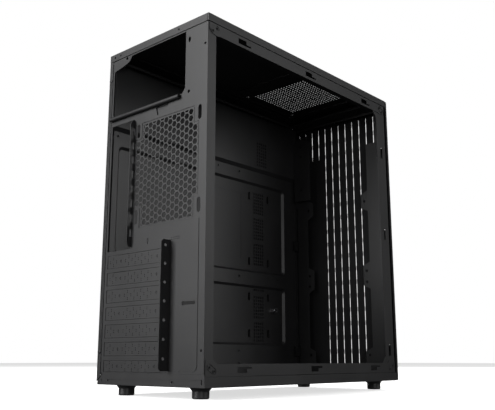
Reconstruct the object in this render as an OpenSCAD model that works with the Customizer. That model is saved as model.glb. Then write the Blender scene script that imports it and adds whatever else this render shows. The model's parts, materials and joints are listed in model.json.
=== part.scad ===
// Empty desktop computer tower: a black steel chassis for a full-size board, with the open-side
// panel taken off. All the steel pieces are drawn in the case frame, whose corner is the lower
// rear edge of the open side: x runs across to the tray side, y runs forward, z runs up.

/* [Case] */
// Width over the open-side skin and the tray-side panel
case_w = 179; // [177:1:216]
// Depth from the rear skin to the front bezel's face
case_d = 385; // [385:1:470]
// Height of the body, without its feet
case_h = 411; // [408:1:500]
// Thickness of the folded steel
sheet = 0.8; // [0.6:0.1:1]
// Height of the lip that the top panel folds down
top_lip = 9.2; // [8:0.1:12]
// Height of the side lips that the bottom panel folds up
bottom_lip = 10.8; // [9:0.1:13]
// Height of the bottom panel's rear lip
bottom_rear_lip = 13.4; // [11:0.1:14]
// Line left open between neighbouring skins
seam = 0.5; // [0.3:0.1:1]

/* [Side frame] */
// Height of the rails along the open side
rail_h = 13.2; // [10:0.2:18]
// Width of the post at the rear of the open side
rear_post = 14; // [10:0.5:20]
// Width of the post at the front of the open side
front_post = 24; // [18:0.5:30]
// Length of a rail's widened ends
gusset_w = 14; // [12:0.5:18]
// How much wider a rail's end is than the rail
gusset_rise = 3.6; // [2:0.2:5]
// Size of the front post's diagonal corners
corner_fillet = 9; // [6:0.5:12]
// Length of a panel hook slot
hook_slot = 22; // [16:0.5:26]
// Height of a panel hook slot
hook_slot_h = 6.4; // [5:0.2:8]

/* [Power supply bay] */
// Distance between the supply's lower screws
psu_span = 138; // [138:1:138]
// Distance between its upper screws
psu_upper_span = 114; // [114:1:114]
// Rise to the open-side upper screw
psu_rise = 64; // [64:1:64]
// Rise to the tray-side upper screw
psu_upper_rise = 74; // [74:1:74]
// Radius of a supply screw hole
psu_hole_r = 2; // [1.8:0.1:2.3]
// Radius of the rolled lip that carries the supply
psu_roll_r = 2.6; // [2:0.1:4]

/* [Board and cards] */
// Height of the port opening
io_h = 158.75; // [158.75:1:158.75]
// Width of the port opening
io_w = 44.45; // [44.45:1:44.45]
// Number of card slots
slot_count = 7; // [5:1:7]
// Distance from one card slot to the next
slot_pitch = 20.32; // [20.32:1:20.32]
// Height of a card slot
slot_h = 15.7; // [14:0.1:17]
// Length of a card slot
slot_len = 110.6; // [106:0.2:112]
// How far the card screw flange stands out of the rear
card_flange = 12.5; // [10:0.5:16]
// Radius of a card screw hole
card_hole_r = 1.8; // [1.4:0.1:2]
// Depth of the pressed zones in the tray
press_depth = 3.2; // [2:0.2:3.4]
// Radius of a board screw hole
board_hole_r = 1.6; // [1.2:0.1:2]

/* [Fans] */
// Distance between the screws of a fan
fan_span = 105; // [105:1:105]
// Radius of a fan screw hole
fan_hole_r = 2.2; // [2:0.1:2.6]
// Distance between rows of the rear honeycomb
hex_pitch = 8; // [7.5:0.1:9]
// Width of a honeycomb hole across its flats
hex_flat = 6.4; // [5:0.1:6.8]
// Distance between the top vent's holes
vent_pitch = 4.9; // [4.5:0.1:6]
// Side of a top vent hole
vent_hole = 2.2; // [2:0.1:3.4]
// Side of a vent hole in the board tray
tray_vent_hole = 3; // [2:0.1:3.4]

/* [Front bezel] */
// Depth of the bezel
bezel_t = 8.2; // [7:0.1:12]
// Thickness of the bezel's wall
bezel_wall = 1.8; // [1.6:0.1:3]
// Rounding of the bezel's upper and lower edges
bezel_edge_r = 4; // [2:0.5:4]
// Number of air slits
slit_count = 13; // [9:1:13]
// Distance from one slit to the next
slit_pitch = 12.9; // [12:0.1:13.2]
// Width of a slit
slit_w = 2.0; // [1.8:0.1:3.6]
// Width of a slit where a rib crosses it
slit_neck = 1.5; // [0.8:0.1:1.8]
// Distance from one rib to the next
rib_pitch = 20.5; // [18:0.5:24]
// Height of a rib
rib_h = 6.7; // [4:0.1:8]

/* [Controls] */
// Width of the power button
power_w = 16; // [12:0.5:18]
// Height of both buttons
button_h = 5; // [4:0.1:5.4]
// Width of the reset button
reset_w = 6; // [5:0.5:8]
// Gap round a button
button_gap = 0.4; // [0.35:0.05:0.6]
// How far a button can be pushed
button_travel = 1.2; // [0.8:0.1:1.5]

/* [Feet] */
// Height of a foot below the body
foot_h = 12; // [8:0.5:20]
// Radius of a foot's barrel
foot_r = 9.2; // [7:0.1:12]
// Radius of a foot's collar
foot_collar_r = 12; // [10:0.1:14]
// Distance of a foot's centre from the side
foot_inset_x = 28; // [20:0.5:40]
// Distance of a foot's centre from the rear and the front skin
foot_inset_y = 23; // [16:0.5:40]

/* [Hidden] */

black = [0.055, 0.055, 0.06];
plastic = [0.035, 0.035, 0.04];
zinc = [0.6, 0.6, 0.62];

fine = 0.01;
total_d = case_d + card_flange;
front_y = case_d - bezel_t;                 // back of the bezel's rim
frame_y = front_y - 2.4;                    // outer face of the front frame
post_x = 2 * sheet;                         // outer face of the posts, under the rails
lap = 0.1;                                  // line between sheets that lie flush
side_top = case_h - top_lip - seam;         // top of the visible side frame
rail_z0 = side_top - rail_h;
low_rail_z0 = bottom_lip + seam;
low_rail_z1 = low_rail_z0 + 12.6;
panel_in = case_w - sheet;                  // inner face of the tray-side panel
board_x = case_w - 6;                       // face of the tray under the board
psu_wall_x = board_x - 4;                   // face of the tray beside the supply
rear_edge = case_w - 6.6;                   // tray-side edge of the rear panel
inner_top = case_h - 10.4;                  // underside of the frame's top folds
screw_zs = [37.3, case_h - 35.3];           // side-panel screws at the rear

slot1_top = 149.6;                          // top edge of the highest card slot
slot_x1 = case_w - 11;                      // tray-side end of the card slots
slot_x0 = slot_x1 - slot_len;
io_z0 = slot1_top + 4.8;
io_x1 = case_w - 8.9;
io_x0 = io_x1 - io_w;
psu_x0 = case_w - 147.5;                    // open-side supply screws
psu_z0 = case_h - 86.2;                     // lower supply screws
fan_x = 65.2;                               // rear fan centre
fan_z = 243.6;
fan_slot_w = 5.4;
grounding_slot = [26, slot1_top - 62.8];    // middle of the level slot beside the card flange
label_slot = [io_x0 - 30.6, io_z0 + 6];     // middle of the small upright slot under the fan
front_fan_x = 40.6;                         // open-side holes of the front fans
front_fan_zs = [34.8, 156.2];               // lowest holes of the two front fans
row_low = 23.2;                             // lowest row of board screws
board_rows = [row_low, row_low + 124.46, row_low + 281.94];
col_rear = 12.2;                            // board screws nearest the rear
board_cols = [col_rear, col_rear + 124.46, col_rear + 227.33];

// ---- helpers ----

// Turns the case frame into the part's own frame
module case_frame() {
    translate([-case_w / 2, total_d / 2 - card_flange, foot_h]) mirror([0, 1, 0]) children();
}

// Extrudes an outline drawn in x and z, from y forward over a depth
module on_y(y, depth) {
    translate([0, y + depth, 0]) rotate([90, 0, 0]) linear_extrude(depth) children();
}

// Extrudes an outline drawn in y and z, from x over a depth
module on_x(x, depth) {
    translate([x, 0, 0]) rotate([90, 0, 90]) linear_extrude(depth) children();
}

// Extrudes an outline drawn in x and y, from z over a depth
module on_z(z, depth) {
    translate([0, 0, z]) linear_extrude(depth) children();
}

// Rectangle between two corners
module rect(a, b) {
    translate(a) square([b[0] - a[0], b[1] - a[1]]);
}

// Box between two corners
module block(a, b) {
    translate(a) cube([b[0] - a[0], b[1] - a[1], b[2] - a[2]]);
}

// Upright or level oblong of a length and a width, centred
module oblong(length, width, upright = false) {
    half = (length - width) / 2;
    v = upright ? [0, 1] : [1, 0];
    for (s = [-1, 1]) translate(s * half * v) circle(width / 2, $fn = 24);
    square(upright ? [width, 2 * half] : [2 * half, width], center = true);
}

// Round hole through a sheet, drilled along y, x or z at a point
module drill_y(p, r, deep = 4) {
    translate(p) rotate([90, 0, 0]) cylinder(h = deep, r = r, center = true, $fn = 32);
}
module drill_x(p, r, deep = 4) {
    translate(p) rotate([0, 90, 0]) cylinder(h = deep, r = r, center = true, $fn = 32);
}
module drill_z(p, r, deep = 4) {
    translate(p) cylinder(h = deep, r = r, center = true, $fn = 32);
}

// ---- rear panel ----

// Opening for the power supply, with an ear for its upper tray-side screw
module psu_cutout() {
    x0 = psu_x0 + 6;
    x1 = rear_edge + 1;
    top = case_h - top_lip - seam - 1.4;
    low = psu_z0 - 0.2;
    ear_x = psu_x0 + psu_upper_span;
    polygon([[x0, top], [x0, low + 6], [x0 + 5, low], [rear_edge - 6, low],
             [rear_edge - 2.6, low + 4], [rear_edge - 2.6, top - 13],
             [ear_x + 4, top - 9.5], [ear_x - 5, top - 6.5], [ear_x - 10, top]]);
}

// Outline of the rear fan's pressed field, which steps in beside the four fan slots
module fan_field(grow = 0) {
    rect([fan_x - 42 - grow, fan_z - 64 - grow], [fan_x + 44 + grow, fan_z + 59 + grow]);
    rect([fan_x - 49 - grow, fan_z - 40 - grow], [fan_x + 56 + grow, fan_z + 40 + grow]);
}

// Honeycomb that fills the fan's field
module honeycomb() {
    step_x = hex_pitch * sqrt(3) / 2;
    columns = ceil(54 / step_x);
    rows = ceil(66 / hex_pitch);
    intersection() {
        fan_field();
        for (i = [-columns : columns], j = [-rows : rows])
            translate([fan_x + 3.5 + i * step_x, fan_z + (j + (i % 2 == 0 ? 0 : 0.5)) * hex_pitch])
                circle(hex_flat / sqrt(3), $fn = 6);
    }
}

// Top and bottom edge of a card window; the lowest one ends above the bottom's rear lip
function slot_top(i) = slot1_top - i * slot_pitch;
function slot_low(i) = max(slot_top(i) - slot_h, bottom_rear_lip + lap + 1);

// Windows for the cards
module slot_windows() {
    for (i = [0 : slot_count - 1]) rect([slot_x0, slot_low(i)], [slot_x1, slot_top(i)]);
}

// Pressed tab under the rolled lip
module lip_tab(grow = 0) {
    x = psu_x0 + 34;
    z = psu_z0 - 6;
    polygon([[x - grow, z + grow], [x + 22 + grow, z + grow],
             [x + 19 + grow, z - 10 - grow], [x + 3 - grow, z - 10 - grow]]);
}

module rear_panel_outline() {
    difference() {
        rect([post_x, bottom_rear_lip + lap], [rear_edge, side_top]);
        psu_cutout();
        rect([io_x0, io_z0], [io_x1, io_z0 + io_h]);
        slot_windows();
        honeycomb();
        lip_tab();
        for (x = [-1, 1], z = [-1, 1])
            translate([fan_x + x * fan_span / 2, fan_z + z * fan_span / 2])
                oblong(17, fan_slot_w, upright = true);
        translate([psu_x0, psu_z0 + psu_rise - 0.6]) oblong(6.4, 2 * psu_hole_r, upright = true);
        translate(label_slot) oblong(7, 2, upright = true);
        translate(grounding_slot) oblong(21, 3.6);
    }
}

// Rolled lip under the supply, open at both ends
module psu_roll() {
    z = psu_z0 - psu_roll_r - 0.3;
    x0 = psu_x0 + 13.5;
    length = rear_edge - 1 - x0;
    translate([x0, sheet - psu_roll_r + 0.4, z]) rotate([0, 90, 0]) difference() {
        cylinder(h = length, r = psu_roll_r, $fn = 40);
        translate([0, 0, -1]) cylinder(h = length + 2, r = psu_roll_r - sheet, $fn = 40);
    }
}

// Flange that the card brackets are screwed to, standing out of the rear
module card_screw_flange() {
    x = slot_x0 - 0.6;
    z0 = bottom_rear_lip + 3;
    z1 = slot1_top + 7.6;
    difference() {
        on_x(x - sheet, sheet)
            polygon([[2 * sheet, z0], [-card_flange + 3, z0], [-card_flange, z0 + 3],
                     [-card_flange, z1 - 3], [-card_flange + 3, z1], [2 * sheet, z1]]);
        for (i = [0 : slot_count - 1])
            drill_x([x, -card_flange / 2, slot_top(i) + 1.4], card_hole_r);
    }
}

// Windowed flange beside the port opening
module io_flange() {
    depth = 6;
    x = io_x0 - 0.2;
    z0 = io_z0 + 2;
    z1 = io_z0 + io_h - 2;
    windows = 8;
    pitch = 17.7;
    difference() {
        on_x(x - sheet, sheet)
            polygon([[2 * sheet, z0], [-depth + 3, z0], [-depth, z0 + 6],
                     [-depth, z1 - 6], [-depth + 3, z1], [2 * sheet, z1]]);
        for (i = [0 : windows - 1])
            translate([x - 2, -2.6, z0 + 12 + i * pitch]) cube([4, 2.4, 9]);
    }
}

// Shallow pressed lines of the rear panel, cut into its outer face
module rear_grooves() {
    deep = 0.55;
    line = 1;
    y = sheet - 1;
    block([11, y, 22], [11 + line, sheet + deep, fan_z - fan_span / 2 - 15]);
    block([17, y, 16], [slot_x0 - 19, sheet + deep, 16 + line]);
    translate([17 + line / 2, sheet + deep, 22]) rotate([90, 0, 0])
        linear_extrude(2) intersection() {
            difference() {
                circle(6.5, $fn = 40);
                circle(5.5, $fn = 40);
            }
            rect([-8, -8], [0, 0]);
        }
    for (k = [0, 1])
        block([slot_x0 - 17, y, slot1_top + 7.4 + 2.2 * k],
              [slot_x0 - 1.6, sheet + deep, slot1_top + 8.2 + 2.2 * k]);
}

module rear_panel() {
    color(black) case_frame() difference() {
        union() {
            on_y(sheet, sheet) rear_panel_outline();
            on_y(2 * sheet, 2 * sheet) lip_tab(1.5);
            block([post_x, 2 * sheet, bottom_rear_lip + lap],
                  [post_x + sheet, rear_post, side_top]);
            block([post_x, sheet, side_top - sheet], [psu_x0 + 2, 9, side_top]);
            psu_roll();
            card_screw_flange();
            io_flange();
        }
        for (p = [[psu_x0, psu_z0], [psu_x0 + psu_span, psu_z0],
                  [psu_x0 + psu_upper_span, psu_z0 + psu_upper_rise]])
            drill_y([p[0], 1.5 * sheet, p[1]], psu_hole_r);
        for (z = screw_zs) drill_y([5.6, 1.5 * sheet, z], 1.5);
        drill_y([grounding_slot[0] + 8, 1.5 * sheet, grounding_slot[1]], 2.4);
        rear_grooves();
        on_y(0, 3 * sheet) lip_tab();
        on_y(sheet - 1, 1 + 0.25) fan_field(2.6);
        on_y(sheet - 1, 1 + 0.6) difference() {
            fan_field(2.6);
            fan_field(1.4);
        }
    }
}

// ---- knock-out covers of the card slots ----

// Dots punched in one cover: m is a pair at mid height, w two pairs apart, p a cross
module cover_dots() {
    marks = ["m", "w", "m", "p", "m", "w", "m", "w", "m", "w", "m", "w", "m", "p", "m", "w"];
    gaps = [0, 1, 1, 1.45, 1.45, 1, 1, 1, 1, 1, 1, 1, 1, 1.55, 1.55, 1];
    step = 5.85;
    start = slot_x1 - 5.2;
    r = 0.62;
    for (k = [0 : len(marks) - 1]) {
        x = start - step * sum(gaps, k);
        heights = marks[k] == "w" ? [-5, -2.9, 2.9, 5] : [-1.25, 1.25];
        if (marks[k] == "p") {
            translate([x, 0]) square([3.6, 0.7], center = true);
            translate([x, 0]) square([0.7, 3.6], center = true);
        } else
            for (z = heights) translate([x, z]) circle(r, $fn = 8);
    }
}

function sum(list, last) = last < 0 ? 0 : list[last] + sum(list, last - 1);

module slot_cover(i) {
    gap = 0.5;
    dimple = 0.6;
    mid = (slot_top(i) + slot_low(i)) / 2;
    color(black) case_frame() {
        difference() {
            on_y(1.5 * sheet, sheet)
                rect([slot_x0 + gap, slot_low(i) + gap], [slot_x1 - gap, slot_top(i) - gap]);
            on_y(1.5 * sheet - 1, 1 + dimple) translate([0, mid]) cover_dots();
        }
        for (x = [slot_x0 - 2, slot_x1 - 5])
            block([x, 2 * sheet, mid - 3], [x + 7, 2 * sheet + sheet, mid + 3]);
    }
}

// ---- top panel ----

vent_x0 = 35;
vent_y0 = case_d - 163;
bead_x = vent_x0 + fan_span + 5.4;
fold_in = 9;                                // how far the tray's folds reach in
fold_bead_x = psu_wall_x - fold_in - 4;

module top_vent() {
    count = floor((fan_span - 9) / vent_pitch);
    start = (fan_span - (count - 1) * vent_pitch) / 2;
    for (i = [0 : count - 1], j = [0 : count - 1])
        translate([vent_x0 + start + i * vent_pitch, vent_y0 + start + j * vent_pitch])
            square(vent_hole, center = true);
}

module top_panel() {
    z0 = case_h - top_lip;
    color(black) case_frame() difference() {
        union() {
            on_z(case_h - sheet, sheet) difference() {
                rect([0, 0], [case_w, front_y - seam]);
                top_vent();
            }
            block([0, 0, z0], [sheet, front_y - seam, case_h - sheet]);
            block([panel_in, 0, z0], [case_w, front_y - seam, case_h - sheet]);
            block([sheet, 0, z0], [panel_in, sheet, case_h - sheet]);
            // bead round the fan field
            on_z(case_h - sheet - 1.6, 1.6) difference() {
                rect([vent_x0 - 3, vent_y0 - 27], [bead_x + 2.6, vent_y0 + fan_span + 12]);
                rect([vent_x0 - 0.4, vent_y0 - 24.4], [bead_x, vent_y0 + fan_span + 9.4]);
            }
            // bead beside the tray's fold
            block([fold_bead_x, 9, case_h - sheet - 1.6],
                  [fold_bead_x + 1.6, case_d - 50, case_h - sheet]);
            // pressed seats of the fan screws
            for (x = [0, fan_span], y = [0, fan_span])
                translate([vent_x0 + x, vent_y0 + y, case_h - sheet - 1])
                    cylinder(h = 1, r = 4.4, $fn = 32);
        }
        for (x = [0, fan_span], y = [0, fan_span])
            drill_z([vent_x0 + x, vent_y0 + y, case_h - 1.4], fan_hole_r, 6);
        for (x = [49.5, case_w - 21, case_w - 9.6])
            drill_y([x, 0.5 * sheet, case_h - 4.6], 1.3, 3);
        // open line where the side lip wraps round the rear corner
        block([sheet + 1.2, -1, z0 - 1], [sheet + 1.2 + seam, sheet + 0.1, case_h - sheet]);
    }
}

// ---- bottom panel ----

foot_xs = [foot_inset_x, case_w - foot_inset_x];
foot_ys = [foot_inset_y, front_y - foot_inset_y + 7];

// Outline of the bottom panel's rear lip, cut back beside the tray-side panel's flange
module rear_lip_outline() {
    polygon([[sheet, sheet], [sheet, bottom_rear_lip], [rear_edge - 3, bottom_rear_lip],
             [rear_edge - 3, bottom_rear_lip - 2.2], [rear_edge, bottom_rear_lip - 3],
             [rear_edge, 9], [panel_in, 3], [panel_in, sheet]]);
}

module bottom_panel() {
    color(black) case_frame() difference() {
        union() {
            block([0, sheet, 0], [case_w, front_y - seam, sheet]);
            block([0, sheet, sheet], [sheet, front_y - seam, bottom_lip]);
            block([panel_in, 2 * sheet, sheet], [case_w, front_y - seam, bottom_lip]);
        }
        for (x = foot_xs, y = foot_ys) drill_z([x, y, sheet / 2], 2.2, 3);
    }
}

// Strip along the bottom's rear edge, flush with the rear panel above it
module bottom_rear_lip() {
    color(black) case_frame() difference() {
        on_y(sheet, sheet) rear_lip_outline();
        for (x = [49, case_w - 20.4, case_w - 8.4]) drill_y([x, 1.5 * sheet, 5.2], 1.3, 3);
        on_y(0, 3) translate([4.5, 5.6]) oblong(5.4, 1.6, upright = true);
    }
}

// ---- motherboard tray ----

// A zone pressed away from the board, as a solid that grows by a wall
module press(y0, y1, z0, z1, wall) {
    slope = 3.4;
    r = 7;
    hull() {
        on_x(board_x + wall, fine) offset_rect(y0, y1, z0, z1, r);
        on_x(board_x + press_depth + wall - fine, fine)
            offset_rect(y0 + slope, y1 - slope, z0 + slope, z1 - slope, r - 2);
    }
}

// Rectangle with round corners
module offset_rect(y0, y1, z0, z1, r) {
    for (y = [y0 + r, y1 - r], z = [z0 + r, z1 - r]) translate([y, z]) circle(r, $fn = 32);
    rect([y0 + r, z0], [y1 - r, z1]);
    rect([y0, z0 + r], [y1, z1 - r]);
}

// Grid of small square vents, a number of rows up from a height
module vent_grid(rows, z) {
    pitch = 4.9;
    start = loop_ys[0] + 10;
    for (i = [0 : 4], j = [0 : rows - 1])
        translate([start + i * pitch, z + j * pitch]) square(tray_vent_hole, center = true);
}

tray_y1 = frame_y - sheet - 0.4;
zone_y0 = 14;
zone_y1 = case_d - 40;
zones = [[zone_y0, zone_y1, board_rows[1] + 7.3, board_rows[2] - 12.1],
         [zone_y0, zone_y1, row_low + 25.8, board_rows[1] - 11.7]];
zone_x = board_x + press_depth - fine;      // floor of a pressed zone
step_z = board_rows[2] + 8.86;              // where the tray steps in to the supply's wall
loop_ys = [266, 309];                       // columns of cable loops
loop_zs = [66, 119.6, 172, 272];            // and their rows
loop_half = 5.4;                            // half of a loop's height
cooler_y1 = 246;
cooler_z1 = 272;

// Vents of the pressed zones: the number of rows and the height of the lowest row
zone_vents = [[7, 247.5], [7, 208], [7, 168.5], [1, 130], [7, 89.5], [6, 56]];

module board_tray() {
    color(black) case_frame() difference() {
        union() {
            difference() {
                union() {
                    block([board_x, 2.6, sheet], [board_x + sheet, tray_y1, step_z - 3]);
                    // step between the board's level and the supply's wall
                    translate([0, tray_y1, 0]) rotate([90, 0, 0]) linear_extrude(tray_y1 - 2.6)
                        polygon([[board_x, step_z - 6], [board_x + sheet, step_z - 6],
                                 [board_x + sheet, step_z - 2.6], [psu_wall_x + sheet, step_z + 2.4],
                                 [psu_wall_x + sheet, inner_top], [psu_wall_x, inner_top],
                                 [psu_wall_x, step_z + 2], [board_x, step_z - 3]]);
                    for (q = zones) press(q[0], q[1], q[2], q[3], sheet);
                }
                for (q = zones) press(q[0], q[1], q[2], q[3], -fine);
            }
            // folds that meet the bottom, the rear and the top
            block([board_x - fold_in, 2.6, sheet], [board_x, tray_y1, 2 * sheet]);
            block([psu_wall_x - fold_in, 2.6, inner_top - sheet],
                  [psu_wall_x, case_d - 40, inner_top]);
            block([psu_wall_x - fold_in, 2.6, inner_top - 3.4],
                  [psu_wall_x - fold_in + sheet, case_d - 40, inner_top - sheet]);
            block([board_x, 2 * sheet, sheet], [board_x + sheet, 2.6, step_z - 6]);
            // raised cable loops
            for (y = loop_ys, z = loop_zs) difference() {
                block([zone_x - 2.2, y - 1.3, z - loop_half],
                      [zone_x + fine, y + 1.3, z + loop_half]);
                block([zone_x - 1.2, y - 2, z - loop_half + 1.6],
                      [zone_x - 0.2, y + 2, z + loop_half - 1.6]);
            }
        }
        // gap beside the port opening
        block([board_x - 1, 0, io_z0 - 2], [board_x + 5, 6, io_z0 + io_h]);
        for (y = board_cols, z = board_rows)
            drill_x([board_x + sheet / 2, y, z], board_hole_r, 3);
        for (p = [[194, board_rows[2]], [328, board_rows[2]], [326, board_rows[1]],
                  [board_cols[2], 40.9]])
            drill_x([board_x + sheet / 2, p[0], p[1]], 1.3, 3);
        // gaps beside the cable loops
        for (y = loop_ys, z = loop_zs)
            block([zone_x - 0.4, y - 3.4, z - loop_half], [zone_x + 2, y - 1.6, z + loop_half]);
        on_x(board_x - 4, 10) for (v = zone_vents) vent_grid(v[0], v[1]);
        on_x(psu_wall_x - 1, 3) vent_grid(8, step_z + 8);
        // pressed outline of the cooler's back opening
        block([zone_x - 1, 60, cooler_z1], [zone_x + 0.3, cooler_y1, cooler_z1 + 0.8]);
        block([zone_x - 1, cooler_y1, cooler_z1 - 98],
              [zone_x + 0.3, cooler_y1 + 0.8, cooler_z1 + 0.8]);
    }
}

module tray_peg() {
    color(zinc) case_frame() translate([zone_x, 319, 101.2]) rotate([0, -90, 0]) difference() {
        union() {
            cylinder(h = 6, r = 4.4, $fn = 6);
            translate([0, 0, 6]) cylinder(h = 1.4, r = 3.4, $fn = 32);
        }
        translate([0, 0, 2]) cylinder(h = 8, r = 1.6, $fn = 24);
    }
}

// ---- front frame ----

frame_top = inner_top - seam;
opening_x0 = front_fan_x - 5.6;
opening_x1 = front_fan_x + fan_span + 1.6;

// Ear that carries a fan screw; side is -1 at the open side, 1 at the tray side
module frame_ear(side, z0, z1) {
    edge = side < 0 ? opening_x0 - 1 : opening_x1 + 1;
    reach = side < 0 ? front_fan_x + 5.9 : front_fan_x + fan_span - 8.9;
    bevel = 6;
    polygon([[edge, z0], [reach, z0 + bevel], [reach, z1 - bevel], [edge, z1]]);
}

module front_opening() {
    ears = [[front_fan_zs[0] - 22.8, front_fan_zs[0] + 11.2],
            [front_fan_zs[0] + 94.2, front_fan_zs[1] + 13.8],
            [front_fan_zs[1] + 88.8, front_fan_zs[1] + 121.8]];
    difference() {
        union() {
            rect([opening_x0, 18], [opening_x1, frame_top - 4]);
            rect([opening_x0 - 15.7, case_h - 61.6], [opening_x0 + 1, frame_top - 4]);
            rect([opening_x1 - 1, case_h - 25.5], [case_w - 9, frame_top - 4]);
        }
        for (s = [-1, 1], e = ears) frame_ear(s, e[0], e[1]);
    }
}

plate_back = 7.2;                           // how far the drive plate stands behind the frame
clip_back = 9;                              // how far a clip reaches behind it
clip_zs = [41, 206, case_h - 81];
clip_half = 7.6;                            // half of a clip's height
clip_half_w = 2.2;                          // half of its width
edge_slot_w = 1.6;                          // the frame's long slot beside the tray

// Middle of a clip: side 0 is the open side, side 1 the tray side
function clip_x(side, z) = side == 0 ? 10 : z < step_z ? board_x - 4.2 : psu_wall_x - 3.2;

module front_frame() {
    color(black) case_frame() difference() {
        union() {
            on_y(frame_y - sheet, sheet) difference() {
                rect([post_x, sheet + seam], [board_x + sheet + 2.2, frame_top]);
                front_opening();
            }
            // fold over the bottom
            block([post_x + sheet, frame_y - 16, sheet],
                  [board_x - 10, frame_y - sheet, 2 * sheet]);
        }
        for (x = [0, fan_span], z = concat(front_fan_zs, front_fan_zs + [fan_span, fan_span]))
            drill_y([front_fan_x + x, frame_y - sheet / 2, z], fan_hole_r);
        on_y(frame_y - 3, 4) {
            for (z = clip_zs, side = [0, 1])
                translate([clip_x(side, z), z])
                    square(2 * [clip_half_w + 0.7, clip_half + 0.7], center = true);
            translate([clip_x(1, 0) - edge_slot_w / 2, clip_zs[0] - 19])
                square([edge_slot_w, clip_zs[1] - clip_zs[0] + 81]);
        }
        for (x = foot_xs) drill_z([x, foot_ys[1], 1.5 * sheet], 2.6, 3);
    }
}

// The frame's fold under the top
module frame_top_fold() {
    color(black) case_frame() difference() {
        block([post_x + sheet, frame_y - 26, frame_top - sheet],
              [psu_wall_x - 10, frame_y - sheet, frame_top]);
        for (p = [[38, 12], [85, 8]])
            drill_z([p[0], frame_y - p[1], frame_top - sheet / 2], 1.6, 3);
    }
}

post_slot_zs = [42, 205.6, case_h - 84.2];

// Post along the front of the open side, with diagonal corners above and below the rails' folds
module front_post_plate() {
    y0 = front_y - front_post;
    y1 = frame_y - sheet;
    color(black) case_frame() difference() {
        on_x(post_x, sheet) {
            rect([y0, low_rail_z0], [y1, side_top - lap]);
            for (e = [[low_rail_z1 + lap, 1], [rail_z0 - lap, -1]])
                polygon([[y0 - corner_fillet, e[0]], [y1, e[0]], [y1, e[0] + e[1] * corner_fillet],
                         [y0, e[0] + e[1] * corner_fillet]]);
        }
        on_x(0, 4) for (z = post_slot_zs)
            translate([front_y - 11.6, z]) rect([-4, -8.4], [1.6, 8.4]);
    }
}

// ---- drive plate on the tray side of the front frame ----

module drive_plate() {
    x0 = case_w - 42.4;
    x1 = psu_wall_x - 0.6;
    z1 = case_h - 36;
    z0 = z1 - 98;
    y = frame_y - plate_back;
    holes = [z0 + 18.5, z0 + 95, z0 + 74.5, z0 + 90];
    color(black) case_frame() difference() {
        union() {
            block([x0, y, z0], [x1, y + sheet, z1]);
            for (z = [z0 + 16, z1 - 24])
                block([x0 + 6, y + sheet, z], [x0 + 6 + sheet, frame_y - sheet, z + 8]);
            for (z = [z0 + 16, z1 - 24])
                block([x0 + 6, frame_y - 2 * sheet, z], [x0 + 13, frame_y - sheet, z + 8]);
        }
        for (z = holes) drill_y([x0 + 18, y + sheet / 2, z], 1.5);
    }
}

// ---- rails of the open side ----

// Slot for a panel hook, with a narrow tail toward the front, high or low
module hook_slot_outline(y, z, tail_up) {
    box = hook_slot * 0.64;
    low = tail_up ? z + hook_slot_h - 2.2 : z;
    rect([y, z], [y + box, z + hook_slot_h]);
    rect([y + box - 1, low], [y + hook_slot, low + 2.2]);
}

// Widened end of a rail: its corner is at [y, z], and it has a cut or a round inner corner
module gusset(y, z, dy, dz, height) {
    tall = height + gusset_rise;
    outline = dz > 0
        ? [[0, 0], [gusset_w + gusset_rise, 0], [gusset_w + gusset_rise, height],
           [gusset_w, tall], [1, tall], [0, tall - 1]]
        : [[0, 0], [gusset_w + gusset_rise, 0], [gusset_w + gusset_rise, height],
           [gusset_w - 1, height + 1.2], [7, height], [3, height - 2], [1, height - 4],
           [0, height - 7]];
    polygon([for (p = outline) [y + dy * p[0], z + dz * p[1]]]);
}

// Middle of the bead on a rail's widened end
function bead_middle(y, z, dy, dz, height) = [y + dy * 8.6, z + dz * height * 0.56];

// Raised ring line of the bead
module gusset_bead(y, z, dy, dz, height) {
    translate(bead_middle(y, z, dy, dz, height)) rotate(dy * dz < 0 ? 32 : -32) difference() {
        oblong(15, 7.4);
        oblong(13.4, 5.8);
    }
}

// The two rivet places on a bead
function rivet_places(y, z, dy, dz, height) =
    let (m = bead_middle(y, z, dy, dz, height), tilt = dy * dz < 0 ? 32 : -32)
    [for (s = [-1, 1]) [m[0] + s * 3.9 * cos(tilt), m[1] + s * 3.9 * sin(tilt)]];

bead_deep = 0.55;
rivet_hole_r = 1.1;
rail_y0 = 3 * sheet;
rail_y1 = frame_y - sheet;
hook_ys = [50.6, 180.6, case_d - 72.4];

// The four widened ends: the corner's place, its two directions and the rail's height
rail_h_low = low_rail_z1 - low_rail_z0;
corners_high = [[rail_y0, side_top, 1, -1, rail_h], [rail_y1, side_top, -1, -1, rail_h]];
corners_low = [[rail_y0, low_rail_z0, 1, 1, rail_h_low], [rail_y1, low_rail_z0, -1, 1, rail_h_low]];

// Flat of a rail with its widened ends, hook slots, beads and rivet holes
module rail_plate(z0, z1, corners, tail_up) {
    difference() {
        on_x(sheet, sheet) {
            rect([rail_y0 + 4, z0], [rail_y1 - 4, z1]);
            for (c = corners) gusset(c[0], c[1], c[2], c[3], c[4]);
        }
        for (y = hook_ys) on_x(0, 2.6)
            hook_slot_outline(y, (z0 + z1) / 2 - hook_slot_h / 2, tail_up);
        for (c = corners) {
            on_x(sheet - 1, 1 + bead_deep) gusset_bead(c[0], c[1], c[2], c[3], c[4]);
            for (p = rivet_places(c[0], c[1], c[2], c[3], c[4]))
                drill_x([1.5 * sheet, p[0], p[1]], rivet_hole_r);
        }
    }
}

// Fold that stiffens a rail between the posts
module rail_fold(z) {
    block([2 * sheet, rear_post + 4, z], [9, front_y - front_post - 4, z + sheet]);
}

module upper_side_rail() {
    color(black) case_frame() {
        rail_plate(rail_z0, side_top, corners_high, false);
        rail_fold(rail_z0);
    }
}

module lower_side_rail() {
    color(black) case_frame() rail_plate(low_rail_z0, low_rail_z1, corners_low, true);
}

module lower_rail_fold() {
    color(black) case_frame() rail_fold(low_rail_z1 - sheet);
}

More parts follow.
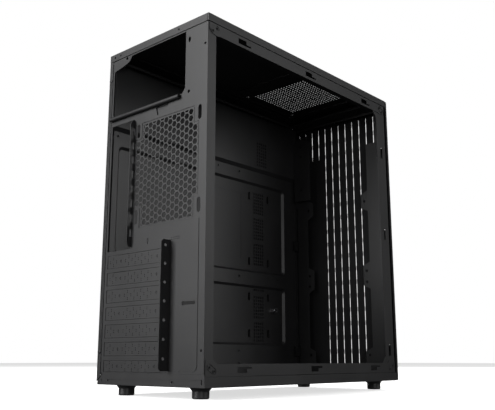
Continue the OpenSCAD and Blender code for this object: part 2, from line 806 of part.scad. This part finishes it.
// Rivets that hold the rails' widened ends to the posts
module rivets() {
    color(black) case_frame() for (c = concat(corners_high, corners_low))
        for (p = rivet_places(c[0], c[1], c[2], c[3], c[4]))
            translate([sheet, p[0], p[1]]) rotate([0, -90, 0]) rivet();
}

// Rim of one hollow rivet
module rivet() {
    rotate_extrude($fn = 24)
        polygon([[rivet_hole_r, 0], [1.9, 0], [1.8, 0.3], [1.4, 0.5], [rivet_hole_r, 0.4]]);
}

// ---- feet ----

module foot(x, y) {
    color(plastic) case_frame() translate([x, y, 0]) rotate_extrude($fn = 64)
        polygon([[2.6, 0], [foot_collar_r, 0], [foot_collar_r - 0.4, -1.2], [foot_r, -4],
                 [foot_r, -foot_h + 1], [foot_r - 1, -foot_h], [5.4, -foot_h], [5.4, -4], [2.6, -4]]);
}

module foot_screws() {
    color(zinc) case_frame() for (x = foot_xs, y = foot_ys) translate([x, y, 0])
        rotate_extrude($fn = 32)
            polygon([[0, 2.6], [1.9, 2.6], [1.9, -4], [4, -4], [4, -5.4], [3, -6.4], [0, -6.6]]);
}

// ---- tray-side panel, which slides back to come off ----

panel_z0 = bottom_lip + seam;
panel_z1 = side_top;

module tray_side_panel() {
    color(black) case_frame() difference() {
        union() {
            block([panel_in, 0, panel_z0], [case_w, front_y - seam, panel_z1]);
            on_y(0, sheet) polygon([[rear_edge + seam, 9.4], [rear_edge + seam, panel_z1],
                                    [case_w, panel_z1], [case_w, 3.2]]);
            block([panel_in - 1, 20, panel_z0], [panel_in, front_y - 20, panel_z0 + sheet]);
            block([panel_in - 1, 20, panel_z1 - sheet], [panel_in, front_y - 20, panel_z1]);
        }
        for (z = screw_zs)
            drill_y([(rear_edge + seam + panel_in) / 2, sheet / 2, z], 1.2, 3);
    }
}

module panel_screws() {
    color(black) case_frame() for (z = screw_zs)
        translate([(rear_edge + seam + panel_in) / 2, 0, z]) rotate([90, 0, 0])
            rotate_extrude($fn = 24)
                polygon([[0, -sheet], [1.2, -sheet], [1.2, 0], [2.3, 0], [2.1, 1], [0, 1.3]]);
}

// ---- front bezel ----

bezel_x0 = 0.4;
bezel_x1 = case_w - 0.4;
slit_z0 = 14;
slit_z1 = case_h - 16;
control_z = case_h - 6.4;
power_x = 34;
reset_x = 52;

// Air slits of the bezel; the ones beside the tray start higher up
module bezel_slits() {
    middle = case_w / 2 + 1.6;
    full_slits = slit_count - 4;
    rows = floor((slit_z1 - slit_z0) / rib_pitch);
    start = (slit_z1 + slit_z0 - (rows - 1) * rib_pitch) / 2;
    for (i = [0 : slit_count - 1]) {
        x = middle + (i - (slit_count - 1) / 2) * slit_pitch;
        low = i < full_slits ? slit_z0 : case_h - 66;
        rect([x - slit_neck / 2, low], [x + slit_neck / 2, slit_z1]);
        for (j = [0 : rows - 1]) {
            z = start + j * rib_pitch;
            if (z > low)
                rect([x - slit_w / 2, z - (rib_pitch - rib_h) / 2],
                     [x + slit_w / 2, z + (rib_pitch - rib_h) / 2]);
        }
    }
}

// Outline of a button, a port or a jack in the bezel's face
module control_hole(x, w, h) {
    translate([x, control_z]) square([w, h], center = true);
}

collar_y = case_d - bezel_wall - 0.35;      // front of the buttons' collars
usb_xs = [72, 90];
jack_xs = [106, 116];
lens_x = 44.5;

module front_bezel() {
    r = 5;
    color(plastic) case_frame() difference() {
        intersection() {
            on_z(0.4, case_h - 0.8) difference() {
                union() {
                    rect([bezel_x0, front_y], [bezel_x1, case_d - r]);
                    rect([bezel_x0 + r, front_y], [bezel_x1 - r, case_d]);
                    for (x = [bezel_x0 + r, bezel_x1 - r])
                        translate([x, case_d - r]) circle(r, $fn = 48);
                }
                rect([-1, front_y - r], [case_w + 1, front_y]);
            }
            on_x(0, case_w)
                offset_rect(front_y - 3 * r, case_d, 0.4, case_h - 0.4, bezel_edge_r);
        }
        block([bezel_x0 + bezel_wall, front_y - 1, 0.4 + bezel_wall],
              [bezel_x1 - bezel_wall, case_d - bezel_wall, case_h - 0.4 - 1.2]);
        on_y(case_d - bezel_wall - 1, bezel_wall + 2) {
            bezel_slits();
            control_hole(power_x, power_w + 2 * button_gap, button_h + 2 * button_gap);
            control_hole(reset_x, reset_w + 2 * button_gap, button_h + 2 * button_gap);
            for (x = usb_xs) control_hole(x, 13.2, 5.4);
        }
        for (x = jack_xs) drill_y([x, case_d - 1, control_z], 2.6, 8);
        drill_y([lens_x, case_d - 1, control_z], 1.25, 8);
    }
}

module bezel_clips() {
    color(plastic) case_frame() for (z = clip_zs, side = [0, 1]) {
        x = clip_x(side, z);
        // the highest clip of the tray side ends in front of the drive plate
        hidden = z == clip_zs[2] && side == 1;
        back = frame_y - (hidden ? plate_back - sheet - 1 : clip_back);
        block([x - clip_half_w + 0.4, back, z - clip_half],
              [x + clip_half_w - 0.4, case_d - bezel_wall, z + clip_half]);
        for (k = [-2 : 2])
            block([x - clip_half_w, back + 0.4, z + 3.1 * k - 1],
                  [x + clip_half_w, frame_y - 1.4, z + 3.1 * k + 1]);
    }
}

// Housing behind the controls, above the frame's top fold
module port_housing() {
    z0 = frame_top + 0.6;
    z1 = case_h - 2;
    y0 = frame_y - 14;
    y1 = case_d - bezel_wall;
    color(plastic) case_frame() difference() {
        block([22, y0, z0], [124, y1, z1]);
        for (b = [[power_x, power_w], [reset_x, reset_w]])
            block([b[0] - b[1] / 2 - 1.4, collar_y - 1.8 - button_travel,
                   control_z - button_h / 2 - 0.8],
                  [b[0] + b[1] / 2 + 1.4, y1 + 1, control_z + button_h / 2 + 1]);
        for (x = usb_xs) block([x - 6.6, y0 + 2, control_z - 2.7], [x + 6.6, y1 + 1, control_z + 2.7]);
        for (x = jack_xs) drill_y([x, y1, control_z], 2.6, 30);
        drill_y([lens_x, y1, control_z], 1.25, 12);
    }
}

module usb_ports() {
    y0 = frame_y - 12;
    color(zinc) case_frame() for (x = usb_xs) {
        difference() {
            block([x - 6.6, y0, control_z - 2.7], [x + 6.6, case_d - 0.6, control_z + 2.7]);
            block([x - 6.1, y0 + 1, control_z - 2.2], [x + 6.1, case_d, control_z + 2.2]);
        }
        block([x - 5.4, y0 + 1, control_z + 0.1], [x + 5.4, case_d - 2.2, control_z + 1.6]);
    }
}

module audio_jacks() {
    color(zinc) case_frame() for (x = jack_xs)
        translate([x, case_d - 0.4, control_z]) rotate([90, 0, 0]) difference() {
            cylinder(h = 14, r = 2.5, $fn = 40);
            translate([0, 0, -1]) cylinder(h = 14, r = 1.75, $fn = 40);
        }
}

module status_lens() {
    color([0.7, 0.85, 1]) case_frame() translate([lens_x, case_d - 0.1, control_z])
        rotate([90, 0, 0]) cylinder(h = 5, r = 1.2, $fn = 32);
}

// A button with a collar that keeps it behind the bezel's face
module push_button(x, w) {
    y1 = case_d - 0.1;
    color(plastic) case_frame() {
        block([x - w / 2, collar_y - 0.1, control_z - button_h / 2],
              [x + w / 2, y1, control_z + button_h / 2]);
        block([x - w / 2 - 1, collar_y - 1.4, control_z - button_h / 2 - 0.5],
              [x + w / 2 + 1, collar_y, control_z + button_h / 2 + 0.5]);
    }
}

module power_button() { push_button(power_x, power_w); }

module reset_button() { push_button(reset_x, reset_w); }

rear_panel();
top_panel();
bottom_panel();
bottom_rear_lip();
board_tray();
front_frame();
frame_top_fold();
front_post_plate();  // front_post
upper_side_rail();
lower_side_rail();
lower_rail_fold();
drive_plate();
tray_peg();
rivets();
foot(foot_xs[0], foot_ys[0]);  // foot_rear_open
foot(foot_xs[1], foot_ys[0]);  // foot_rear_tray
foot(foot_xs[0], foot_ys[1]);  // foot_front_open
foot(foot_xs[1], foot_ys[1]);  // foot_front_tray
foot_screws();
tray_side_panel();
panel_screws();
front_bezel();
bezel_clips();
port_housing();
usb_ports();
audio_jacks();
status_lens();
power_button();
reset_button();
for (i = [0 : slot_count - 1])
    slot_cover(i);
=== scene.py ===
"""Looks of an empty steel computer tower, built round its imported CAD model.

The CAD nodes keep their shapes and places. This script gives each of them its finish and its soft
edges, lays a pale floor under them, and lights the case softly.
"""

from __future__ import annotations

import json
import logging
import math
from dataclasses import dataclass, field
from enum import Enum
from typing import Iterable, Union

import bpy
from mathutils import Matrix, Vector

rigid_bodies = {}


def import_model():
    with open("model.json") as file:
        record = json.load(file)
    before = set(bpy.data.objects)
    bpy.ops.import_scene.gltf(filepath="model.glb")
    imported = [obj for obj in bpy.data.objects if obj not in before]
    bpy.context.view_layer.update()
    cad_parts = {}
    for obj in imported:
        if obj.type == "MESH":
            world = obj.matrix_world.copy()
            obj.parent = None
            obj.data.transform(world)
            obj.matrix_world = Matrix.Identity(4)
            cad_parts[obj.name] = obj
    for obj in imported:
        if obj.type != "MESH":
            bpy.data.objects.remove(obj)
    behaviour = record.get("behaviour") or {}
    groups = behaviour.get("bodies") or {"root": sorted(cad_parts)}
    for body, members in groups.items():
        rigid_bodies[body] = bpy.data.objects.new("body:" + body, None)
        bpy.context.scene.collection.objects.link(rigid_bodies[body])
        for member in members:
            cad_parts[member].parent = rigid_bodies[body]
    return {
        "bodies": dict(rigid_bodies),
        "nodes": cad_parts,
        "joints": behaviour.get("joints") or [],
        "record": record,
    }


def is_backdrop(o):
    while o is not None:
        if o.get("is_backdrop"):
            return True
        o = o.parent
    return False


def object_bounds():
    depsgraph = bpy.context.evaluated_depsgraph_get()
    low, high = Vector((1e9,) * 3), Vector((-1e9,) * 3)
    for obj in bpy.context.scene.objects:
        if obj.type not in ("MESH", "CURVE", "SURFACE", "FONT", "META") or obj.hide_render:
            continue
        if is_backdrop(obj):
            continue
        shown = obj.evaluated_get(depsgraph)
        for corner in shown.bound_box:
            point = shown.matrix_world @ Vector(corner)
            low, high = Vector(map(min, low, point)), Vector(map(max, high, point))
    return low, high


log = logging.getLogger("tower")

MM = 0.001
CLOUD_WAVES, SMUDGE_WAVES, SPECK_WAVES = 9.0, 38.0, 260.0  # per metre
WORN_SHARE, SPECK_SHARE = 0.35, 0.2  # how far wear and specks bring out the dust colour
BUMP_STRENGTH = 0.7
COAT_ROUGHNESS = 0.12
WELD_GAP = 0.002  # millimetres
SHARP_ANGLE = 40  # degrees
NORMAL_WEIGHT = 80  # how much large faces bend the normals beside them
CLIP_START = 0.01  # metres
Colour = tuple[float, float, float]


class Grain(Enum):
    """How a moulded or coated surface is textured."""

    POWDER = "powder"
    SPARK = "spark"
    SMOOTH = "smooth"


# ---------------------------------------------------------------- shader maths


@dataclass
class Wire:
    """A shader socket that Python's operators work on.

    Attributes:
        tree: The builder of the node tree that the socket is in.
        socket: The output socket.
    """

    tree: "Shader"
    socket: bpy.types.NodeSocket

    def _math(self, operation: str, other: "Value", swap: bool = False) -> "Wire":
        """Adds a Math node of this wire and another value."""
        pair = (other, self) if swap else (self, other)
        return self.tree.node("ShaderNodeMath", {"operation": operation}, {0: pair[0], 1: pair[1]})

    def __add__(self, other: "Value") -> "Wire":
        """Sum."""
        return self._math("ADD", other)

    __radd__ = __add__

    def __sub__(self, other: "Value") -> "Wire":
        """Difference."""
        return self._math("SUBTRACT", other)

    def __rsub__(self, other: "Value") -> "Wire":
        """Difference, with this wire taken away."""
        return self._math("SUBTRACT", other, swap=True)

    def __mul__(self, other: "Value") -> "Wire":
        """Product."""
        return self._math("MULTIPLY", other)

    __rmul__ = __mul__

    def __truediv__(self, other: "Value") -> "Wire":
        """Quotient."""
        return self._math("DIVIDE", other)

    def power(self, other: "Value") -> "Wire":
        """This wire to a power."""
        return self._math("POWER", other)

    def clamp(self) -> "Wire":
        """This wire kept between 0 and 1."""
        return self.tree.node("ShaderNodeClamp", {}, {"Value": self})

    def ramp(self, low: float, high: float) -> "Wire":
        """A smooth step from 0 at low to 1 at high."""
        settings = {"interpolation_type": "SMOOTHSTEP"}
        values = {"Value": self, "From Min": low, "From Max": high}
        return self.tree.node("ShaderNodeMapRange", settings, values)


Value = Union[float, Wire]


class Shader:
    """Builds one material's nodes round a Principled BSDF."""

    def __init__(self, name: str) -> None:
        """Makes an empty material.

        Args:
            name: The material's name.
        """
        self.material = bpy.data.materials.new(name)
        self.material.use_nodes = True
        self.nodes = self.material.node_tree.nodes
        self.links = self.material.node_tree.links
        self.nodes.clear()
        self.bsdf = self.nodes.new("ShaderNodeBsdfPrincipled")
        out = self.nodes.new("ShaderNodeOutputMaterial")
        self.links.new(self.bsdf.outputs[0], out.inputs[0])

    def raw(self, kind: str, settings: dict[str, object], values: dict) -> bpy.types.Node:
        """Adds a node, sets it up, then fills its sockets.

        Args:
            kind: The node's type.
            settings: The node's own properties.
            values: Socket name or number to a number, a tuple or a wire.

        Returns:
            The node.
        """
        node = self.nodes.new(kind)
        for key, value in settings.items():
            setattr(node, key, value)
        for key, value in values.items():
            if isinstance(value, Wire):
                self.links.new(value.socket, node.inputs[key])
            else:
                node.inputs[key].default_value = value
        return node

    def node(self, kind: str, settings: dict[str, object], values: dict, out: int = 0) -> Wire:
        """Adds a node and returns one of its outputs as a wire."""
        return Wire(self, self.raw(kind, settings, values).outputs[out])

    def place(self) -> Wire:
        """Object coordinates, which are the model's own metres."""
        return Wire(self, self.raw("ShaderNodeTexCoord", {}, {}).outputs["Object"])

    def noise(self, vector: Wire, scale: float, detail: float = 2.0, rough: float = 0.5) -> Wire:
        """Noise from 0 to 1 at a number of waves per metre."""
        values = {"Vector": vector, "Scale": scale, "Detail": detail, "Roughness": rough}
        return self.node("ShaderNodeTexNoise", {"noise_dimensions": "3D"}, values)

    def cells(self, vector: Wire, scale: float) -> Wire:
        """Distance to the nearest cell's middle, in cells."""
        values = {"Vector": vector, "Scale": scale}
        return self.node("ShaderNodeTexVoronoi", {"feature": "F1"}, values)

    def blend(self, factor: Value, first: Union[Colour, Wire],
              second: Union[Colour, Wire]) -> Wire:
        """Mixes two colours.

        Args:
            factor: 0 for the first colour, 1 for the second.
            first: A colour or a wire of one.
            second: A colour or a wire of one.

        Returns:
            The mixed colour.
        """
        mix = self.raw("ShaderNodeMix", {"data_type": "RGBA"}, {0: factor})
        for index, colour in ((6, first), (7, second)):
            if isinstance(colour, Wire):
                self.links.new(colour.socket, mix.inputs[index])
            else:
                mix.inputs[index].default_value = (*colour, 1.0)
        return Wire(self, mix.outputs[2])

    def feed(self, name: str, value: Union[Value, Colour]) -> None:
        """Sets or links one of the Principled BSDF's sockets."""
        if isinstance(value, Wire):
            self.links.new(value.socket, self.bsdf.inputs[name])
        elif isinstance(value, tuple):
            self.bsdf.inputs[name].default_value = (*value, 1.0)
        else:
            self.bsdf.inputs[name].default_value = value

    def bump(self, height: Wire, strength: float, depth: float) -> None:
        """Feeds a height to the surface's normal.

        Args:
            height: The height, from 0 to 1.
            strength: How strongly it shows.
            depth: The height of 1, in metres.
        """
        values = {"Height": height, "Strength": strength, "Distance": depth}
        self.feed("Normal", self.node("ShaderNodeBump", {}, values))


# ---------------------------------------------------------------- finishes


@dataclass(frozen=True)
class Finish:
    """A surface finish that can make its material.

    Attributes:
        name: The material's name.
        colour: The colour where the surface is clean.
        dust: The colour that settled dust or handling adds.
        rough: The surface's roughness.
        grain: The kind of texture.
        grain_size: The distance between the texture's bumps, in millimetres.
        grain_depth: The height of the bumps, in millimetres.
        metallic: 1 for bare metal.
        coat: How much clear gloss lies on top.
        sheen: How strongly bare, uncoated material reflects at a slant.
    """

    name: str
    colour: Colour
    dust: Colour
    rough: float
    grain: Grain
    grain_size: float = 0.8
    grain_depth: float = 0.02
    metallic: float = 0.0
    coat: float = 0.0
    sheen: float = 0.5

    def height(self, shader: Shader, place: Wire) -> Wire:
        """The texture's height.

        Args:
            shader: The material being built.
            place: The surface's coordinates.

        Returns:
            The height, from 0 to 1.
        """
        waves = 1.0 / (self.grain_size * MM)
        if self.grain is Grain.POWDER:
            peel = shader.noise(place, waves, 3.0, 0.55)
            fine = shader.noise(place, 3.1 * waves, 1.0)
            return 0.72 * peel + 0.28 * fine
        if self.grain is Grain.SPARK:
            pits = shader.cells(place, waves)
            return 0.6 * pits.power(0.7) + 0.4 * shader.noise(place, 1.9 * waves, 2.0)
        return shader.noise(place, 0.25 * waves, 1.0)

    def build(self) -> bpy.types.Material:
        """Makes the material.

        Returns:
            The material.
        """
        shader = Shader(self.name)
        place = shader.place()
        height = self.height(shader, place)
        cloud = shader.noise(place, CLOUD_WAVES, 3.0, 0.6)
        smudge = shader.noise(place, SMUDGE_WAVES, 4.0, 0.65)
        worn = (cloud.ramp(0.42, 0.72) * 0.55 + smudge.ramp(0.5, 0.8) * 0.45).clamp()
        speck = (1 - shader.cells(place, SPECK_WAVES)).ramp(0.9, 0.98)
        soiled = (worn * WORN_SHARE + speck * SPECK_SHARE).clamp()
        shader.feed("Base Color", shader.blend(soiled, self.colour, self.dust))
        shader.feed("Roughness", (self.rough + 0.09 * (worn - 0.5) - 0.1 * (height - 0.5)).clamp())
        shader.feed("Metallic", self.metallic)
        shader.feed("Specular IOR Level", self.sheen)
        if self.coat:
            shader.feed("Coat Weight", self.coat)
            shader.feed("Coat Roughness", COAT_ROUGHNESS)
        shader.bump(height, BUMP_STRENGTH, self.grain_depth * MM)
        return shader.material


POWDER_STEEL = Finish("powder_coated_steel", (0.021, 0.021, 0.022), (0.045, 0.045, 0.046),
                      0.47, Grain.POWDER, 0.9, 0.016)
BEZEL_PLASTIC = Finish("bezel_plastic", (0.017, 0.017, 0.018), (0.036, 0.036, 0.037),
                       0.62, Grain.SPARK, 0.5, 0.012, sheen=0.15)
CLIP_PLASTIC = Finish("clip_plastic", (0.012, 0.012, 0.013), (0.03, 0.03, 0.03),
                      0.4, Grain.SMOOTH, 0.6, 0.006)
FOOT_PLASTIC = Finish("foot_plastic", (0.04, 0.04, 0.041), (0.055, 0.055, 0.055),
                      0.36, Grain.SMOOTH, 0.9, 0.002, coat=0.5)
ZINC_PLATE = Finish("zinc_plate", (0.62, 0.62, 0.64), (0.42, 0.42, 0.43),
                    0.28, Grain.SMOOTH, 0.4, 0.004, metallic=1.0)
BLACK_OXIDE = Finish("black_oxide", (0.03, 0.03, 0.031), (0.09, 0.09, 0.09),
                     0.36, Grain.SMOOTH, 0.4, 0.004, metallic=0.5)
LIGHT_PIPE = Finish("light_pipe", (0.6, 0.68, 0.74), (0.5, 0.56, 0.6),
                    0.25, Grain.SMOOTH, 0.5, 0.002, coat=0.5)


# ---------------------------------------------------------------- mesh helpers


def soften(piece: bpy.types.Object, radius: float, segments: int = 2) -> None:
    """Rounds a CAD node's sharp edges without touching its own mesh.

    Args:
        piece: The node's object.
        radius: The rounding's width, in millimetres.
        segments: The number of faces across the rounding.
    """
    weld = piece.modifiers.new("weld", "WELD")
    weld.merge_threshold = WELD_GAP * MM
    bevel = piece.modifiers.new("edges", "BEVEL")
    bevel.width = radius * MM
    bevel.segments = segments
    bevel.limit_method = "ANGLE"
    bevel.angle_limit = math.radians(SHARP_ANGLE)
    bevel.use_clamp_overlap = True
    bevel.harden_normals = False
    normals = piece.modifiers.new("normals", "WEIGHTED_NORMAL")
    normals.keep_sharp = True
    normals.weight = NORMAL_WEIGHT


@dataclass
class Case:
    """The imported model: its nodes, and the finish of each.

    Attributes:
        made: The materials made so far.
    """

    frame: dict
    made: dict[str, bpy.types.Material] = field(default_factory=dict)

    def material(self, finish: Finish) -> bpy.types.Material:
        """The material of a finish, made once."""
        if finish.name not in self.made:
            self.made[finish.name] = finish.build()
        return self.made[finish.name]

    def dress(self, names: Iterable[str], finish: Finish, radius: float = 0.0) -> None:
        """Gives CAD nodes a finish and, if asked, rounded edges.

        Args:
            names: The nodes' names.
            finish: The finish.
            radius: The rounding of the edges, in millimetres.
        """
        for name in names:
            piece = self.frame["nodes"][name]
            piece.data.materials.clear()
            piece.data.materials.append(self.material(finish))
            if radius:
                soften(piece, radius)
            log.info("dressed %s in %s", name, finish.name)


# ---------------------------------------------------------------- the object


@dataclass
class Chassis:
    """The folded steel of the case."""

    case: Case
    fold: float = 0.3
    cut: float = 0.12

    def build(self) -> None:
        """Dresses the steel."""
        self.case.dress(["top_panel", "bottom_panel", "tray_side_panel"], POWDER_STEEL, self.fold)
        self.case.dress(["rear_panel", "front_frame", "frame_top_fold", "front_post",
                         "board_tray", "drive_plate", "upper_side_rail", "lower_side_rail",
                         "lower_rail_fold", "bottom_rear_lip"], POWDER_STEEL, self.cut)
        covers = [name for name in self.case.frame["nodes"] if name.startswith("slot_cover")]
        self.case.dress(sorted(covers), POWDER_STEEL)
        self.case.dress(["rivets", "panel_screws"], BLACK_OXIDE, self.cut)
        self.case.dress(["foot_screws", "tray_peg"], ZINC_PLATE, self.cut)


@dataclass
class Feet:
    """The four round feet."""

    case: Case

    def build(self) -> None:
        """Dresses the feet."""
        names = [name for name in self.case.frame["nodes"]
                 if name.startswith("foot_") and name != "foot_screws"]
        self.case.dress(sorted(names), FOOT_PLASTIC, 0.4)


@dataclass
class Bezel:
    """The front bezel with its clips and controls."""

    case: Case

    def build(self) -> None:
        """Dresses the bezel, its clips and the controls."""
        self.case.dress(["front_bezel"], BEZEL_PLASTIC, 0.2)
        self.case.dress(["bezel_clips", "port_housing"], CLIP_PLASTIC, 0.15)
        self.case.dress(["power_button", "reset_button"], BEZEL_PLASTIC, 0.3)
        self.case.dress(["usb_ports", "audio_jacks"], ZINC_PLATE, 0.1)
        self.case.dress(["status_lens"], LIGHT_PIPE, 0.15)


# ---------------------------------------------------------------- camera and light


@dataclass(frozen=True)
class Lamp:
    """A rectangular soft light that faces the middle of the case.

    Attributes:
        name: The light's name.
        place: Where it stands, in metres.
        size: Its width and its height, in metres.
        power: Its power, in watts.
    """

    name: str
    place: tuple[float, float, float]
    size: tuple[float, float]
    power: float

    def add(self, target: Vector) -> None:
        """Adds the light, facing a target.

        Args:
            target: The point that it faces.
        """
        data = bpy.data.lights.new(self.name, "AREA")
        data.shape = "RECTANGLE"
        data.size, data.size_y = self.size
        data.energy = self.power
        light = bpy.data.objects.new(self.name, data)
        light.location = self.place
        facing = target - Vector(self.place)
        light.rotation_euler = facing.to_track_quat("-Z", "Y").to_euler()
        bpy.context.scene.collection.objects.link(light)


LAMPS = (Lamp("rear_key", (0.9, 2.6, 1.25), (1.6, 2.4), 96.0),
         Lamp("side_key", (-2.3, -1.1, 0.9), (1.8, 1.6), 20.0),
         Lamp("low_fill", (-1.9, 1.3, 0.45), (0.8, 0.8), 7.0),
         Lamp("front_fill", (0.8, -2.4, 1.4), (1.8, 1.8), 55.0),
         Lamp("top_fill", (0.4, 0.0, 2.6), (2.0, 2.0), 25.0))


@dataclass
class Studio:
    """The pale floor, the soft lights and the camera.

    Attributes:
        low: The model's lowest corner.
        high: The model's highest corner.
        floor_size: The floor's side, in metres.
        white: The floor's colour.
        floor_glow: How strongly the floor shines by itself.
        backdrop: How bright the surround looks.
        surround_glow: How strongly the surround lights the case.
        aside: How far the camera stands from the open side, in metres.
        behind: How far it stands behind the rearmost edge, in metres.
        height: Its height over the floor, in metres.
        turn: The way it looks, in degrees from +X towards +Y.
        pitch: How far it looks up, in degrees.
        lens: Its focal length, in millimetres.
        sensor: Its sensor's width, in millimetres.
    """

    low: Vector
    high: Vector
    floor_size: float = 14.0
    white: Colour = (0.9, 0.9, 0.9)
    floor_glow: float = 0.75
    backdrop: float = 1.0
    surround_glow: float = 0.03
    aside: float = 0.5167
    behind: float = 0.4975
    height: float = 0.0405
    turn: float = -48.07
    pitch: float = 12.43
    lens: float = 50.97
    sensor: float = 36.0

    def floor(self) -> None:
        """Lays a pale floor under the feet, which throws no light back into the case."""
        half = self.floor_size / 2
        mesh = bpy.data.meshes.new("floor")
        corners = [(-half, -half, 0), (half, -half, 0), (half, half, 0), (-half, half, 0)]
        mesh.from_pydata(corners, [], [(0, 1, 2, 3)])
        piece = bpy.data.objects.new("floor", mesh)
        bpy.context.scene.collection.objects.link(piece)
        shader = Shader("pale_floor")
        shader.feed("Base Color", self.white)
        shader.feed("Roughness", 0.7)
        shader.feed("Emission Color", self.white)
        shader.feed("Emission Strength", self.floor_glow)
        mesh.materials.append(shader.material)
        piece.visible_diffuse = False
        piece.visible_glossy = False
        piece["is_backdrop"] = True

    def sky(self) -> None:
        """Shows a white surround that lights the case only faintly."""
        world = bpy.data.worlds.new("surround")
        world.use_nodes = True
        nodes, links = world.node_tree.nodes, world.node_tree.links
        background = nodes["Background"]
        background.inputs["Color"].default_value = (1.0, 1.0, 1.0, 1.0)
        path = nodes.new("ShaderNodeLightPath")
        level = nodes.new("ShaderNodeMapRange")
        level.inputs["To Min"].default_value = self.surround_glow
        level.inputs["To Max"].default_value = self.backdrop
        links.new(path.outputs["Is Camera Ray"], level.inputs["Value"])
        links.new(level.outputs[0], background.inputs["Strength"])
        bpy.context.scene.world = world
        bpy.context.scene.view_settings.view_transform = "Standard"

    def camera(self) -> None:
        """Places the camera low behind the open side, looking up a little."""
        eye = Vector((self.low.x - self.aside, self.high.y + self.behind, self.height))
        turn = math.radians(self.turn)
        pitch = math.radians(self.pitch)
        ahead = Vector((math.cos(pitch) * math.cos(turn), math.cos(pitch) * math.sin(turn),
                        math.sin(pitch)))
        data = bpy.data.cameras.new("camera")
        data.sensor_width = self.sensor
        data.lens = self.lens
        data.clip_start = CLIP_START
        piece = bpy.data.objects.new("camera", data)
        piece.location = eye
        piece.rotation_euler = ahead.to_track_quat("-Z", "Y").to_euler()
        bpy.context.scene.collection.objects.link(piece)
        bpy.context.scene.camera = piece

    def build(self) -> None:
        """Sets up the studio."""
        self.camera()
        self.floor()
        self.sky()
        for lamp in LAMPS:
            lamp.add((self.low + self.high) / 2)


def main() -> None:
    """Builds the tower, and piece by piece."""
    logging.basicConfig(level=logging.INFO, format="%(name)s: %(message)s")
    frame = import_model()
    cad_low, cad_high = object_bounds()
    case = Case(frame)
    Studio(cad_low, cad_high).build()
    Chassis(case).build()
    Feet(case).build()
    Bezel(case).build()


if __name__ == "__main__":
    main()
